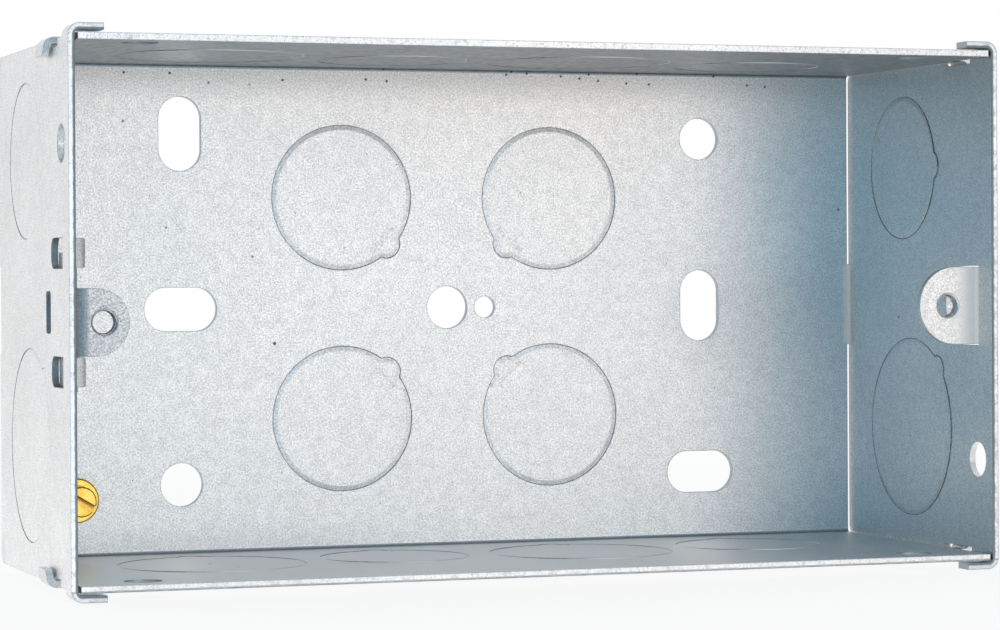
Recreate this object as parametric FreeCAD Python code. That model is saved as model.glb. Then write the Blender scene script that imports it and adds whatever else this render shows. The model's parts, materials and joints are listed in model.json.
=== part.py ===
# Flush back box for two wiring accessories: a box folded from one galvanised steel sheet, with one
# fixed lug, one sliding lug and a brass earth screw.
# Millimetres. The origin is the centre of the rear face, +X is right, +Z is up and +Y points out of the
# rear face, so the open front faces -Y. A depth is measured from the front rim towards the rear.
import FreeCAD, Part
import math
import os

from FreeCAD import Vector

# Folded sheet
SHEET = 0.9
BEND = 0.5                   # inside radius of the folds round the back plate
BOX_WIDTH = 131.6            # over the end walls
BOX_HEIGHT = 71.3            # over the top and bottom walls
BOX_DEPTH = 47.0             # rim to rear face

# Corners, where the long walls stop short of the end walls
CORNER_GAP = 0.4
END_EDGE_DROP = 0.4          # end wall's long edges below the outer face of the long walls
END_REAR_SETBACK = 0.6       # end wall's rear edge in front of the rear face
END_REAR_RADIUS = 1.5
BRIDGE_HEIGHT = 12.2         # fold that joins an end wall to the back plate

# Hook tabs of the end walls, bent over the long walls at the rim
HOOK_WIDTH = 3.7
HOOK_REACH = 3.8             # past the end wall's inner face
HOOK_GAP = 0.3
HOOK_BEND = 0.7
HOOK_CORNER = 0.8

# Lock tabs of the long walls, bent over the end walls through a notch
LOCK_DEPTH = 9.5             # front edge
LOCK_WIDTH = 4.75
LOCK_DROP = 2.5              # below the long wall's outer face
LOCK_SPLAY = 0.3             # tab's end further out than its bend
LOCK_GAP = 0.15
LOCK_BEND = 0.5
LOCK_CORNER = 0.9
NOTCH_FRONT_MARGIN = 3.15    # notch in front of the tab
NOTCH_REAR_MARGIN = 0.4
NOTCH_DROP = 0.5             # past the long wall's inner face

# Knock-outs, half sheared discs with a lobe to lever at and a crease to fold along
SMALL_KNOCKOUT = 21.0
LARGE_KNOCKOUT = 26.0
ROLL_WIDTH = 0.7             # rolled edge on the inner face
ROLL_DEPTH = 0.1
SCORE_WIDTH = 0.3            # shear line on the outer face
SCORE_DEPTH = 0.14
LOBE_RADIUS = 2.1
LOBE_REACH = 1.1             # past the disc's edge
CREASE_INSET = 1.9           # in from the disc's edge
CREASE_LENGTH = 4.6
CREASE_WIDTH = 1.4
CREASE_DEPTH = 0.05
BACK_KNOCKOUT_PITCH = 32.0
LONG_KNOCKOUT_PITCH = 27.0
LONG_KNOCKOUT_REAR = 40.0    # depth of the rear edges in the long walls
END_KNOCKOUT_REAR = 38.4     # depth of the rear edges in the end walls
END_SMALL_HEIGHT = 20.2
END_LARGE_HEIGHT = -17.9

# Fixing holes of the back plate
FIXING_PITCH_X = 80.0
FIXING_PITCH_Z = 25.0
FIXING_HOLE = 6.2
FIXING_SLOT = 10.6
CENTRE_HOLE = 6.2
PILOT_HOLE = 3.2
PILOT_X = 5.8

# Small round holes of the walls, close to the rim
SIDE_HOLE = 5.0
END_HOLE_DEPTH = 4.45
END_HOLE_HEIGHT = 21.7
LONG_HOLE_DEPTH = 5.2
LONG_HOLE_INSET = 10.5       # in from the end wall's outer face

# Both lugs
LUG_REACH = 4.6              # tapped hole from the end wall's inner face, so 120.6 between the holes
LUG_DEPTH = 4.4              # front face
LUG_HOLE = 3.3
LUG_THREAD_LENGTH = 1.7
LUG_HOLE_CHAMFER = 0.15
COLLAR_WALL = 0.55           # burr round the thread

# Fixed lug, lanced out of the right end wall
FIXED_LUG_HEIGHT = 10.9
FIXED_LUG_TIP = 4.4          # past the hole's centre
FIXED_LUG_BEND = 0.5
FIXED_LUG_KERF = 0.15        # cut round the lug

# Sliding lug, a bent plate on the left end wall
SLIDER_SHEET = 1.2
SLIDER_HEIGHT = 8.8
SLIDER_TIP = 3.3             # past the hole's centre
SLIDER_BEND = 0.8
SLIDER_CLEARANCE = 0.1       # to the wall on one side and the clips on the other
SLIDER_STOP_GAP = 0.1        # left over at both ends of the travel
SLIDER_EARS = 18.0           # span of the ears under the clips
SLIDER_TAIL = 1.2            # past the window
SLIDER_PIP_GAP = 0.15        # round the pip in its window
SLIDER_PIP_SUNK = 0.65       # pip below the wall's outer face

# Clips that hold the sliding lug, lanced out of the left end wall
CLIP_DEPTH = 3.9             # root
CLIP_LENGTH = 7.2
CLIP_HEIGHT = 4.0            # slot left in the wall
CLIP_KERF = 0.1
CLIP_PITCH = 15.3
CLIP_BEND = 0.6
CLIP_RAMP = 65.0             # degrees, from the wall
CLIP_END_RADIUS = 1.5
CLIP_EDGE_RADIUS = 0.5       # long edges on the room side
CLIP_EAR_MARGIN = 0.6        # ear behind the clip's ramp
WINDOW_DEPTH = 11.6          # front edge
WINDOW_LENGTH = 2.9
WINDOW_HEIGHT = 5.5
WINDOW_RADIUS = 0.5

# Earth screw in a burred hole of the back plate
EARTH_END_INSET = 10.1       # in from the left end wall's outer face
EARTH_WALL_INSET = 8.95      # up from the bottom wall's outer face
EARTH_COLLAR = 6.0
EARTH_COLLAR_HEIGHT = 1.4
EARTH_SHANK = 3.9
EARTH_CLEARANCE = 0.05       # all round the shank
EARTH_TIP_SETBACK = 0.3      # tip in front of the rear face
EARTH_STANDOFF = 0.6         # flange above the collar
EARTH_FLANGE = 6.3
EARTH_FLANGE_HEIGHT = 0.8
EARTH_HEAD = 4.3
EARTH_HEAD_HEIGHT = 3.0      # above the flange
EARTH_CHAMFER = 0.2          # flange and head
EARTH_SLOT_WIDTH = 1.0
EARTH_SLOT_DEPTH = 1.2
EARTH_SLOT_ANGLE = 31.0      # degrees, falling to the right

# Places that follow from the sizes above
OUTER_X = BOX_WIDTH / 2
OUTER_Z = BOX_HEIGHT / 2
INNER_X = OUTER_X - SHEET
INNER_Z = OUTER_Z - SHEET
RIM_Y = -BOX_DEPTH
FLOOR_Y = -SHEET
CHANNEL_X = INNER_X - CORNER_GAP
END_Z = OUTER_Z - END_EDGE_DROP
LUG_Y = RIM_Y + LUG_DEPTH
LUG_X = INNER_X - LUG_REACH
LONG_HOLE_X = OUTER_X - LONG_HOLE_INSET
CLIP_TONGUE_HEIGHT = CLIP_HEIGHT - 2 * CLIP_KERF
CLIP_RISE = SHEET + SLIDER_SHEET + 2 * SLIDER_CLEARANCE
CLIP_RUN = CLIP_RISE / math.tan(math.radians(CLIP_RAMP))
SLIDER_LOW_Z = -(CLIP_PITCH - CLIP_TONGUE_HEIGHT - SLIDER_HEIGHT) / 2 + SLIDER_STOP_GAP
EARTH_X = EARTH_END_INSET - OUTER_X
EARTH_Z = EARTH_WALL_INSET - OUTER_Z
EARTH_FLANGE_Y = FLOOR_Y - EARTH_COLLAR_HEIGHT - EARTH_STANDOFF

X, Y, Z = Vector(1, 0, 0), Vector(0, 1, 0), Vector(0, 0, 1)
OVERCUT = 0.1                # cutting tools reach this far past a face
OVERLAP = 0.5                # joined stretches of one sheet share this length
TINY = 1e-6


# Shared shapes


def outline(corners):
    """A closed wire through (point, radius) corners, each rounded by a tangent arc."""
    turns = []
    for index, (corner, radius) in enumerate(corners):
        back = (corners[index - 1][0] - corner).normalize()
        ahead = (corners[(index + 1) % len(corners)][0] - corner).normalize()
        half_angle = back.getAngle(ahead) / 2
        reach = radius / math.tan(half_angle)
        inset = radius / math.sin(half_angle) - radius
        middle = corner + (back + ahead).normalize() * inset
        turns.append((corner + back * reach, middle, corner + ahead * reach))
    edges = []
    for index, (start, middle, stop) in enumerate(turns):
        last_stop = turns[index - 1][2]
        if last_stop.distanceToPoint(start) > TINY:
            edges.append(Part.LineSegment(last_stop, start).toShape())
        if start.distanceToPoint(stop) > TINY:
            edges.append(Part.Arc(start, middle, stop).toShape())
    return Part.Wire(edges)


def prism(corners, sweep):
    """A solid of the rounded outline, swept along a vector."""
    return Part.Face(outline(corners)).extrude(sweep)


def xy_prism(corners, low_z, high_z):
    """A prism along Z of (x, y, radius) corners."""
    points = [(Vector(x, y, low_z), radius) for x, y, radius in corners]
    return prism(points, Z * (high_z - low_z))


def xz_prism(corners, low_y, high_y):
    """A prism along Y of (x, z, radius) corners."""
    points = [(Vector(x, low_y, z), radius) for x, z, radius in corners]
    return prism(points, Y * (high_y - low_y))


def yz_prism(corners, low_x, high_x):
    """A prism along X of (y, z, radius) corners."""
    points = [(Vector(low_x, y, z), radius) for y, z, radius in corners]
    return prism(points, X * (high_x - low_x))


def rectangle(low_a, high_a, low_b, high_b, low_radius=0.0, high_radius=0.0):
    """Corners of a rectangle, rounded at the low end of a and at its high end."""
    return [
        (low_a, low_b, low_radius),
        (high_a, low_b, high_radius),
        (high_a, high_b, high_radius),
        (low_a, high_b, low_radius),
    ]


def mirrored(shape, normal):
    """The shape's mirror image in a plane through the origin."""
    return shape.mirror(Vector(), normal)


def at_four_corners(shape):
    """The shape and its mirror images left to right and top to bottom."""
    pair = [shape, mirrored(shape, X)]
    return pair + [mirrored(one, Z) for one in pair]


def round_hole(diameter, centre, into, length):
    """A drill that starts on a face at centre and goes right through a wall."""
    start = centre - into * OVERCUT
    return Part.makeCylinder(diameter / 2, length + 2 * OVERCUT, start, into)


# Folded walls


def channel():
    """Back plate with the top and bottom walls folded up from it."""
    profile = [
        (RIM_Y, OUTER_Z, 0),
        (0, OUTER_Z, BEND + SHEET),
        (0, -OUTER_Z, BEND + SHEET),
        (RIM_Y, -OUTER_Z, 0),
        (RIM_Y, -INNER_Z, 0),
        (FLOOR_Y, -INNER_Z, BEND),
        (FLOOR_Y, INNER_Z, BEND),
        (RIM_Y, INNER_Z, 0),
    ]
    walls = yz_prism(profile, -CHANNEL_X, CHANNEL_X)
    half = BRIDGE_HEIGHT / 2
    relief = yz_prism(rectangle(FLOOR_Y - OVERCUT, OVERCUT, -half, half), INNER_X - BEND, OUTER_X)
    return walls.cut([relief, mirrored(relief, X)])


def bridge():
    """Fold that carries the right end wall."""
    fold = [
        (INNER_X - BEND - OVERLAP, 0, 0),
        (OUTER_X, 0, BEND + SHEET),
        (OUTER_X, FLOOR_Y - BEND - OVERLAP, 0),
        (INNER_X, FLOOR_Y - BEND - OVERLAP, 0),
        (INNER_X, FLOOR_Y, BEND),
        (INNER_X - BEND - OVERLAP, FLOOR_Y, 0),
    ]
    return xy_prism(fold, -BRIDGE_HEIGHT / 2, BRIDGE_HEIGHT / 2)


def end_wall():
    """Right end wall, notched for the lock tabs and cut back round its bridge."""
    flat = rectangle(RIM_Y, -END_REAR_SETBACK, -END_Z, END_Z, 0, END_REAR_RADIUS)
    wall = yz_prism(flat, INNER_X, OUTER_X)
    notch_front = RIM_Y + LOCK_DEPTH - NOTCH_FRONT_MARGIN
    notch_rear = RIM_Y + LOCK_DEPTH + LOCK_WIDTH + NOTCH_REAR_MARGIN
    notch = rectangle(notch_front, notch_rear, INNER_Z - NOTCH_DROP, OUTER_Z)
    half = BRIDGE_HEIGHT / 2
    room = rectangle(FLOOR_Y - BEND, OVERCUT, -half, half)
    low_x, high_x = INNER_X - OVERCUT, OUTER_X + OVERCUT
    top_notch = yz_prism(notch, low_x, high_x)
    return wall.cut([top_notch, mirrored(top_notch, Z), yz_prism(room, low_x, high_x)]).fuse(bridge())


def hook_tab():
    """Top right hook: the end wall's front corner bent over the top wall."""
    under = OUTER_Z + HOOK_GAP
    over = under + SHEET
    tip = INNER_X - HOOK_REACH
    fold = [
        (INNER_X, END_Z - OVERLAP, 0),
        (INNER_X, under, HOOK_BEND),
        (tip, under, 0),
        (tip, over, 0),
        (OUTER_X, over, HOOK_BEND + SHEET),
        (OUTER_X, END_Z - OVERLAP, 0),
    ]
    strip = xz_prism(fold, RIM_Y, RIM_Y + HOOK_WIDTH)
    plan = [
        (tip, RIM_Y, 0),
        (OUTER_X, RIM_Y, 0),
        (OUTER_X, RIM_Y + HOOK_WIDTH, 0),
        (tip, RIM_Y + HOOK_WIDTH, HOOK_CORNER),
    ]
    return strip.common(xy_prism(plan, END_Z - OVERLAP, over))


def lock_tab():
    """Top right lock tab: a tongue of the top wall bent down over the end wall."""
    front = RIM_Y + LOCK_DEPTH
    rear = front + LOCK_WIDTH
    inside = OUTER_X + LOCK_GAP
    outside = inside + SHEET
    low = OUTER_Z - LOCK_DROP
    fold = [
        (CHANNEL_X - OVERLAP, INNER_Z, 0),
        (inside, INNER_Z, LOCK_BEND),
        (inside + LOCK_SPLAY, low, 0),
        (outside + LOCK_SPLAY, low, 0),
        (outside, OUTER_Z, LOCK_BEND + SHEET),
        (CHANNEL_X - OVERLAP, OUTER_Z, 0),
    ]
    strip = xz_prism(fold, front, rear)
    side = [
        (front, low, LOCK_CORNER),
        (rear, low, LOCK_CORNER),
        (rear, OUTER_Z, 0),
        (front, OUTER_Z, 0),
    ]
    return strip.common(yz_prism(side, CHANNEL_X - OVERLAP, outside + LOCK_SPLAY))


# Lugs


def thread_collar(x, z, rear_y):
    """Burr behind a lug, from its rear face to the end of the thread."""
    radius = LUG_HOLE / 2 + COLLAR_WALL
    length = LUG_Y + LUG_THREAD_LENGTH - rear_y
    return Part.makeCylinder(radius, length + OVERLAP, Vector(x, rear_y - OVERLAP, z), Y)


def thread_hole(x, z):
    """Tapped hole of a lug, with a small chamfer at the front."""
    radius = LUG_HOLE / 2
    front = Vector(x, LUG_Y, z)
    chamfer = Part.makeCone(
        radius + LUG_HOLE_CHAMFER + OVERCUT, radius, LUG_HOLE_CHAMFER + OVERCUT, front - Y * OVERCUT, Y)
    return round_hole(LUG_HOLE, front, Y, LUG_THREAD_LENGTH).fuse(chamfer)


def fixed_lug():
    """Lug bent inwards out of the right end wall, round at its tip."""
    half = FIXED_LUG_HEIGHT / 2
    tip = LUG_X - FIXED_LUG_TIP
    root = LUG_Y - FIXED_LUG_BEND - OVERLAP
    rear = LUG_Y + SHEET
    fold = [
        (INNER_X, root, 0),
        (INNER_X, LUG_Y, FIXED_LUG_BEND),
        (tip, LUG_Y, 0),
        (tip, rear, 0),
        (OUTER_X, rear, FIXED_LUG_BEND + SHEET),
        (OUTER_X, root, 0),
    ]
    shape = xy_prism(fold, -half, half)
    tongue = xz_prism(rectangle(tip, OUTER_X, -half, half, half, 0), root, rear)
    return shape.common(tongue).fuse(thread_collar(LUG_X, 0, rear))


def fixed_lug_window():
    """Opening left in the right end wall by the lug, as long as the lug was when flat."""
    half = FIXED_LUG_HEIGHT / 2 + FIXED_LUG_KERF
    front = LUG_Y - FIXED_LUG_BEND
    reach = INNER_X - LUG_X + FIXED_LUG_TIP
    flat_length = math.pi / 2 * (FIXED_LUG_BEND + SHEET / 2) + reach - FIXED_LUG_BEND
    rear = front + flat_length + FIXED_LUG_KERF
    return yz_prism(rectangle(front, rear, -half, half, 0, half), INNER_X - OVERCUT, OUTER_X + OVERCUT)


def clip():
    """Upper clip of the left end wall: a tongue stepped inwards over the sliding lug's ear."""
    root = RIM_Y + CLIP_DEPTH
    tip = root + CLIP_LENGTH - CLIP_KERF
    shift = SHEET * math.tan(math.radians(CLIP_RAMP) / 2)
    far = -OUTER_X + CLIP_RISE
    near = -INNER_X + CLIP_RISE
    step = [
        (-OUTER_X, root, 0),
        (far, root + CLIP_RUN, CLIP_BEND),
        (far, tip, 0),
        (near, tip, 0),
        (near, root + CLIP_RUN - shift, CLIP_BEND + SHEET),
        (-INNER_X, root - shift, CLIP_BEND),
        (-INNER_X, root - shift - OVERLAP, 0),
        (-OUTER_X, root - shift - OVERLAP, 0),
    ]
    low = (CLIP_PITCH - CLIP_TONGUE_HEIGHT) / 2
    high = low + CLIP_TONGUE_HEIGHT
    strip = xy_prism(step, low, high)
    side = rectangle(root - shift - OVERLAP, tip, low, high, 0, CLIP_END_RADIUS)
    face = rectangle(-OUTER_X, near, low, high, 0, CLIP_EDGE_RADIUS)
    tongue = yz_prism(side, -OUTER_X, near).common(xz_prism(face, root - shift - OVERLAP, tip))
    return strip.common(tongue)


def clip_slot():
    """Opening left in the left end wall by the upper clip."""
    root = RIM_Y + CLIP_DEPTH
    low = (CLIP_PITCH - CLIP_HEIGHT) / 2
    flat = rectangle(root, root + CLIP_LENGTH, low, low + CLIP_HEIGHT, 0, CLIP_END_RADIUS)
    return yz_prism(flat, -OUTER_X - OVERCUT, -INNER_X + OVERCUT)


def slider_window():
    """Window of the left end wall, in which the sliding lug's pip runs."""
    front = RIM_Y + WINDOW_DEPTH
    half = WINDOW_HEIGHT / 2
    flat = rectangle(front, front + WINDOW_LENGTH, -half, half, WINDOW_RADIUS, WINDOW_RADIUS)
    return yz_prism(flat, -OUTER_X - OVERCUT, -INNER_X + OVERCUT)


def adjustable_lug():
    """Bent plate with a tapped lug, two ears under the clips and a pip in the window."""
    half = SLIDER_HEIGHT / 2
    low, high = SLIDER_LOW_Z - half, SLIDER_LOW_Z + half
    wall_side = -INNER_X + SLIDER_CLEARANCE
    room_side = wall_side + SLIDER_SHEET
    tip = -LUG_X + SLIDER_TIP
    rear = LUG_Y + SLIDER_SHEET
    window_front = RIM_Y + WINDOW_DEPTH
    window_rear = window_front + WINDOW_LENGTH
    tail = window_rear + SLIDER_TAIL
    fold = [
        (wall_side, tail, 0),
        (wall_side, LUG_Y, SLIDER_BEND + SLIDER_SHEET),
        (tip, LUG_Y, 0),
        (tip, rear, 0),
        (room_side, rear, SLIDER_BEND),
        (room_side, tail, 0),
    ]
    tongue = xz_prism(rectangle(wall_side, tip, low, high, 0, half), LUG_Y, tail)
    bracket = xy_prism(fold, low, high).common(tongue)

    ear_front = RIM_Y + CLIP_DEPTH + CLIP_RUN + CLIP_EAR_MARGIN
    ear_rear = RIM_Y + CLIP_DEPTH + CLIP_LENGTH
    ear_low = SLIDER_LOW_Z - SLIDER_EARS / 2
    ears = yz_prism(rectangle(ear_front, ear_rear, ear_low, ear_low + SLIDER_EARS), wall_side, room_side)

    travel = -2 * SLIDER_LOW_Z
    pip_half = (WINDOW_HEIGHT - travel) / 2 - SLIDER_PIP_GAP
    pip_flat = rectangle(
        window_front + SLIDER_PIP_GAP, window_rear - SLIDER_PIP_GAP,
        SLIDER_LOW_Z - pip_half, SLIDER_LOW_Z + pip_half, WINDOW_RADIUS, WINDOW_RADIUS)
    pip = yz_prism(pip_flat, -OUTER_X + SLIDER_PIP_SUNK, room_side)

    solid = bracket.fuse([ears, pip, thread_collar(-LUG_X, SLIDER_LOW_Z, rear)])
    return solid.cut(thread_hole(-LUG_X, SLIDER_LOW_Z)).removeSplitter()


# Holes and knock-outs


def slot_hole(x, z, upright):
    """Slotted fixing hole of the back plate."""
    half_x = (FIXING_HOLE if upright else FIXING_SLOT) / 2
    half_z = (FIXING_SLOT if upright else FIXING_HOLE) / 2
    radius = FIXING_HOLE / 2
    flat = rectangle(x - half_x, x + half_x, z - half_z, z + half_z, radius, radius)
    return xz_prism(flat, FLOOR_Y - OVERCUT, OVERCUT)


def fixing_holes():
    """Round and slotted holes of the back plate, turned half round from left to right."""
    side = FIXING_PITCH_X / 2
    holes = [
        round_hole(CENTRE_HOLE, Vector(), -Y, SHEET),
        round_hole(PILOT_HOLE, Vector(PILOT_X, 0, 0), -Y, SHEET),
        slot_hole(-side, FIXING_PITCH_Z, True),
        slot_hole(-side, 0, False),
        slot_hole(side, 0, True),
        slot_hole(side, -FIXING_PITCH_Z, False),
    ]
    for end in (-1, 1):
        centre = Vector(end * side, 0, end * FIXING_PITCH_Z)
        holes.append(round_hole(FIXING_HOLE, centre, -Y, SHEET))
    return holes


def side_holes():
    """Round holes close to the rim: one in each end wall, two in each long wall."""
    holes = []
    for side in (-1, 1):
        end_centre = Vector(side * OUTER_X, RIM_Y + END_HOLE_DEPTH, -side * END_HOLE_HEIGHT)
        holes.append(round_hole(SIDE_HOLE, end_centre, X * -side, SHEET))
        for end in (-1, 1):
            centre = Vector(end * LONG_HOLE_X, RIM_Y + LONG_HOLE_DEPTH, side * OUTER_Z)
            holes.append(round_hole(SIDE_HOLE, centre, Z * -side, SHEET))
    return holes


def sheared_edge(discs, into, width, depth):
    """Groove along the joint outline of (centre, radius) discs: upright outside, sloping inside."""
    slope = width / depth
    wells = []
    mounds = []
    for centre, radius in discs:
        start = centre - into * OVERCUT
        wells.append(Part.makeCylinder(radius, depth + OVERCUT, start, into))
        mounds.append(Part.makeCone(radius - width - slope * OVERCUT, radius, depth + OVERCUT, start, into))
    return wells[0].fuse(wells[1:]).cut(mounds)


def crease(centre, towards, into):
    """Shallow straight fold line across a knock-out, seen on the inner face."""
    across = towards.cross(into)
    end = centre - across * (CREASE_LENGTH / 2)
    corners = [
        (end - towards * (CREASE_WIDTH / 2), 0),
        (end + into * CREASE_DEPTH, 0),
        (end + towards * (CREASE_WIDTH / 2), 0),
        (end - into * CREASE_DEPTH, 0),
    ]
    return prism(corners, across * CREASE_LENGTH)


def knockout(diameter, centre, inward, lobe_way, crease_way):
    """Grooves of one knock-out; centre is on the outer face."""
    radius = diameter / 2
    lobe_way = Vector(lobe_way).normalize()
    crease_way = Vector(crease_way).normalize()
    lobe = centre + lobe_way * (radius + LOBE_REACH - LOBE_RADIUS)
    outer_discs = [(centre, radius), (lobe, LOBE_RADIUS)]
    inner_discs = [(middle + inward * SHEET, size) for middle, size in outer_discs]
    fold = centre + inward * SHEET + crease_way * (radius - CREASE_INSET)
    return [
        sheared_edge(outer_discs, inward, SCORE_WIDTH, SCORE_DEPTH),
        sheared_edge(inner_discs, -inward, ROLL_WIDTH, ROLL_DEPTH),
        crease(fold, crease_way, -inward),
    ]


def knockouts():
    """Grooves of all knock-outs of the back plate, the end walls and the long walls."""
    cuts = []
    for end in (-1, 1):
        for side in (-1, 1):
            centre = Vector(end, 0, side) * (BACK_KNOCKOUT_PITCH / 2)
            cuts += knockout(SMALL_KNOCKOUT, centre, -Y, -centre, -centre)

        small = Vector(end * OUTER_X, RIM_Y + END_KNOCKOUT_REAR - SMALL_KNOCKOUT / 2, END_SMALL_HEIGHT)
        large = Vector(end * OUTER_X, RIM_Y + END_KNOCKOUT_REAR - LARGE_KNOCKOUT / 2, END_LARGE_HEIGHT)
        cuts += knockout(SMALL_KNOCKOUT, small, X * -end, -Y, Y + Z)
        cuts += knockout(LARGE_KNOCKOUT, large, X * -end, Z - Y, Y - Z)

        for place, diameter in enumerate((LARGE_KNOCKOUT, SMALL_KNOCKOUT, LARGE_KNOCKOUT, SMALL_KNOCKOUT)):
            along = (place - 1.5) * LONG_KNOCKOUT_PITCH
            centre = Vector(along, RIM_Y + LONG_KNOCKOUT_REAR - diameter / 2, end * OUTER_Z)
            cuts += knockout(diameter, centre, Z * -end, Y, Y)
    return cuts


# Nodes


def earth_hole():
    """Clearance for the earth screw through the back plate and its collar."""
    length = SHEET + EARTH_COLLAR_HEIGHT
    return round_hole(EARTH_SHANK + 2 * EARTH_CLEARANCE, Vector(EARTH_X, 0, EARTH_Z), -Y, length)


def box_body():
    """The folded sheet, with its lanced lug and clips, holes and knock-outs."""
    right_end = end_wall()
    left_end = mirrored(right_end, X)
    right_end = right_end.cut(fixed_lug_window()).fuse(fixed_lug())
    slots = [clip_slot(), mirrored(clip_slot(), Z), slider_window()]
    left_end = left_end.cut(slots).fuse([clip(), mirrored(clip(), Z)])
    collar_start = Vector(EARTH_X, FLOOR_Y + OVERLAP, EARTH_Z)
    collar = Part.makeCylinder(EARTH_COLLAR / 2, EARTH_COLLAR_HEIGHT + OVERLAP, collar_start, -Y)
    tabs = at_four_corners(hook_tab()) + at_four_corners(lock_tab())
    sheet = channel().fuse([right_end, left_end, collar] + tabs)
    holes = fixing_holes() + side_holes() + [earth_hole(), thread_hole(LUG_X, 0)]
    return sheet.cut(holes + knockouts()).removeSplitter()


def earth_screw():
    """Slotted brass screw whose flat head stands on a flange."""
    flange, head = EARTH_FLANGE / 2, EARTH_HEAD / 2
    face = -EARTH_FLANGE_HEIGHT - EARTH_HEAD_HEIGHT
    profile = [
        (0, 0),
        (flange, 0),
        (flange, EARTH_CHAMFER - EARTH_FLANGE_HEIGHT),
        (flange - EARTH_CHAMFER, -EARTH_FLANGE_HEIGHT),
        (head, -EARTH_FLANGE_HEIGHT),
        (head, face + EARTH_CHAMFER),
        (head - EARTH_CHAMFER, face),
        (0, face),
    ]
    corners = [(Vector(radius, y, 0), 0) for radius, y in profile]
    screw = Part.Face(outline(corners)).revolve(Vector(), Y, 360)
    length = -EARTH_FLANGE_Y - EARTH_TIP_SETBACK
    shank = Part.makeCylinder(EARTH_SHANK / 2, length + OVERLAP, -Y * OVERLAP, Y)
    slot = rectangle(-EARTH_HEAD, EARTH_HEAD, -EARTH_SLOT_WIDTH / 2, EARTH_SLOT_WIDTH / 2)
    cut = xz_prism(slot, face - OVERCUT, face + EARTH_SLOT_DEPTH)
    cut.rotate(Vector(), Y, EARTH_SLOT_ANGLE)
    screw = screw.fuse(shank).cut(cut).removeSplitter()
    screw.translate(Vector(EARTH_X, EARTH_FLANGE_Y, EARTH_Z))
    return screw


def main():
    os.makedirs("parts", exist_ok=True)
    nodes = {
        "box_body": box_body(),
        "adjustable_lug": adjustable_lug(),
        "earth_screw": earth_screw(),
    }
    for name, shape in nodes.items():
        shape.exportStep(os.path.join("parts", name + ".step"))
        bounds = shape.BoundBox
        print(name, "solids", len(shape.Solids), "valid", shape.isValid(), "volume", round(shape.Volume, 2))
        print("  x", round(bounds.XMin, 3), round(bounds.XMax, 3), "y", round(bounds.YMin, 3),
              round(bounds.YMax, 3), "z", round(bounds.ZMin, 3), round(bounds.ZMax, 3))


main()
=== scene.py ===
import json
import math
from types import SimpleNamespace

import bpy
from mathutils import Matrix, Vector


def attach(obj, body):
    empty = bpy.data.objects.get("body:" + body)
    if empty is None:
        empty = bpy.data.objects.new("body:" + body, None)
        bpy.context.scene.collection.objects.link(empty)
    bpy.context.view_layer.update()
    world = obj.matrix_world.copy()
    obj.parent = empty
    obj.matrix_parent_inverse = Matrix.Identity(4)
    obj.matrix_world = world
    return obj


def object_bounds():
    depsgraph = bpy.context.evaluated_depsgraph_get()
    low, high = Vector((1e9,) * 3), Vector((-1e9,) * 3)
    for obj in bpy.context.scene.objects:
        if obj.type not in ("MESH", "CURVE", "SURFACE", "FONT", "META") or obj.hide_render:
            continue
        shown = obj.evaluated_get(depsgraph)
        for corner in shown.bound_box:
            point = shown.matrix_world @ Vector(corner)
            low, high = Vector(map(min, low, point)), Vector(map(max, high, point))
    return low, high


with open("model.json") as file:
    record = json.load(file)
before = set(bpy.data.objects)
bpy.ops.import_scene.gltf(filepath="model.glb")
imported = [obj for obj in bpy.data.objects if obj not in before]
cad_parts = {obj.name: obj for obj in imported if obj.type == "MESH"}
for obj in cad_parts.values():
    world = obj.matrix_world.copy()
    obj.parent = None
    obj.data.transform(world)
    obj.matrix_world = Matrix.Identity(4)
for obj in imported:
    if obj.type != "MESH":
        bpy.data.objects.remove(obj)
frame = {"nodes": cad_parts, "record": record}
cad_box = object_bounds()

MM = 0.001

# The folded sheet, repeated from the part's source
SHEET = 0.9 * MM
OUTER_X = 65.8 * MM
OUTER_Z = 35.65 * MM
RIM_Y = -47.0 * MM
LONG_HOLES_END = 12.0 * MM
LUG_SLOTS_END = 14.0 * MM
BRIDGE_HALF = 6.1 * MM
HOOK_GAP = 0.3 * MM
HOOK_BEND = 0.7 * MM
SKIN = 0.02 * MM             # margin that tells a face from what lies under it

# Knock-outs
SMALL_RADIUS = 10.5 * MM
LARGE_RADIUS = 13.0 * MM
LOBE_RADIUS = 2.1 * MM
LOBE_REACH = 1.1 * MM
BACK_KNOCKOUT = 16.0 * MM
LONG_KNOCKOUT_PITCH = 27.0 * MM
LONG_KNOCKOUT_REAR = RIM_Y + 40.0 * MM
LONG_KNOCKOUTS = (LARGE_RADIUS, SMALL_RADIUS, LARGE_RADIUS, SMALL_RADIUS)
END_KNOCKOUT_REAR = RIM_Y + 38.4 * MM
END_SMALL_HEIGHT = 20.2 * MM
END_LARGE_HEIGHT = -17.9 * MM
INNER_SEAM_RADIUS = 0.1 * MM
OUTER_SEAM_RADIUS = 0.05 * MM
PROUD_FRONT = 0.12 * MM
DISC_STEPS = 96
LOBE_STEPS = 20
SEAM_SIDES = 6

# Cut threads
LUG_THREAD_PITCH = 0.6 * MM
LUG_THREAD_CREST = 0.2 * MM
LUG_FRONT_Y = -42.6 * MM
LUG_THREAD_START = 0.25 * MM
LUG_THREAD_STOP = 1.6 * MM
HELIX_STEPS = 48
RIDGE_SIDES = 4

# Earth screw
SCREW_AXIS = Vector((-55.7, 0.0, -26.7)) * MM
SCREW_FACE_Y = -6.7 * MM
SCREW_SLOT_ANGLE = math.radians(31.0)

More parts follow.
